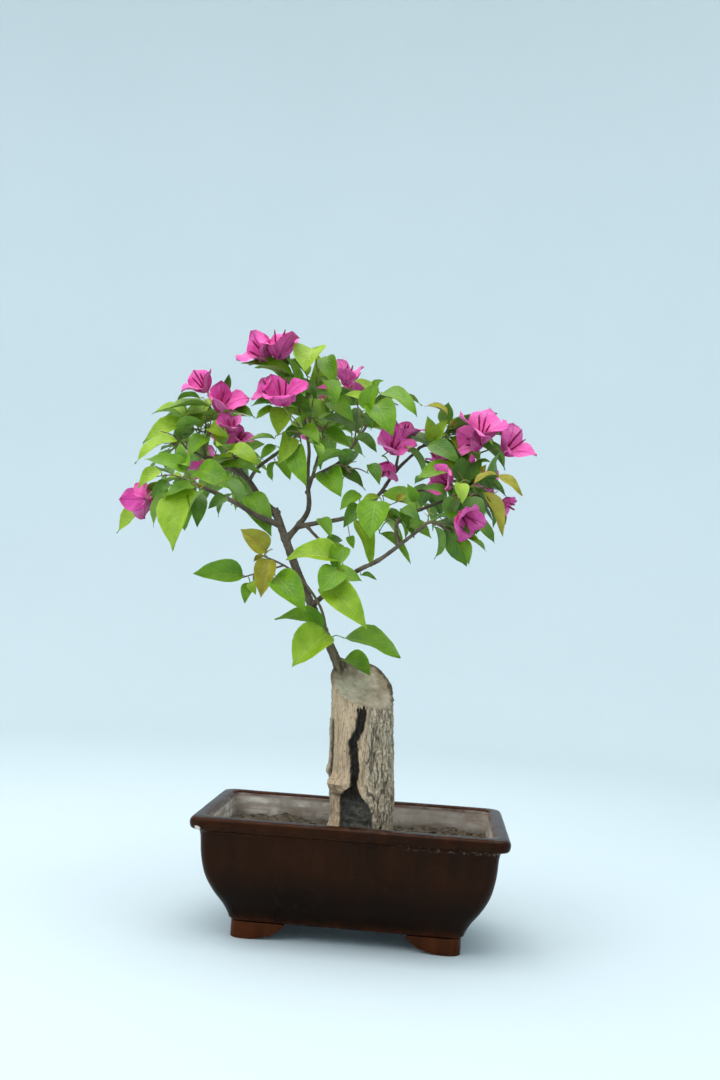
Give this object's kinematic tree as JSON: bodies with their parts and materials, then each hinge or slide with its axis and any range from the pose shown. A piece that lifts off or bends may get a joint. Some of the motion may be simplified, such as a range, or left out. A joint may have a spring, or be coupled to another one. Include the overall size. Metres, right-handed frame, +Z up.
{
  "type": "bougainvillea bonsai",
  "caption": "Bougainvillea bonsai: a hollow, cracked stump with one bent leader and an open crown of leaves and papery magenta bracts, in an oblong glazed pot on feet.",
  "frame": {"origin": "on the ground under the middle of the whole plant's box", "axes": "+Z up along the plant's height; +X along the pot's long side, to the right seen from the front; +Y from front to back"},
  "size_m": [0.4633, 0.2626, 0.6579],
  "materials": {
    "glaze": "dark brown glaze, red-brown where it thins",
    "soil": "dry gritty soil",
    "old_bark": "weathered grey bark and sawn wood",
    "young_bark": "brown bark",
    "foliage": "soft leaves and papery bracts"
  },
  "bodies": {
    "root": {"bough_back_centre": "young_bark", "bough_back_left": "young_bark", "bough_back_right": "young_bark", "bough_centre": "young_bark", "bough_cross": "young_bark", "bough_front_right": "young_bark", "bough_left": "young_bark", "bough_rear_right": "young_bark", "bough_right": "young_bark", "bough_upper_left": "young_bark", "bough_upper_right": "young_bark", "foot_back_left": "glaze", "foot_back_right": "glaze", "foot_front_left": "glaze", "foot_front_right": "glaze", "leader": "old_bark", "leaves_back_centre": "foliage", "leaves_back_left": "foliage", "leaves_back_right": "foliage", "leaves_centre": "foliage", "leaves_cross": "foliage", "leaves_inner": "foliage", "leaves_left": "foliage", "leaves_left_centre": "foliage", "leaves_low_left": "foliage", "leaves_low_right": "foliage", "leaves_lower_left": "foliage", "leaves_mid_right": "foliage", "leaves_right": "foliage", "leaves_right_low": "foliage", "leaves_right_top": "foliage", "leaves_stump": "foliage", "leaves_top": "foliage", "leaves_upper_centre": "foliage", "leaves_upper_left": "foliage", "leaves_upper_right": "foliage", "pot": "glaze", "soil": "soil", "spur_centre": "young_bark", "spur_inner": "young_bark", "spur_left": "young_bark", "spur_left_centre": "young_bark", "spur_low_right": "young_bark", "spur_mid_right": "young_bark", "spur_upper_centre": "young_bark", "trunk": "old_bark"}
  },
  "joints": []
}
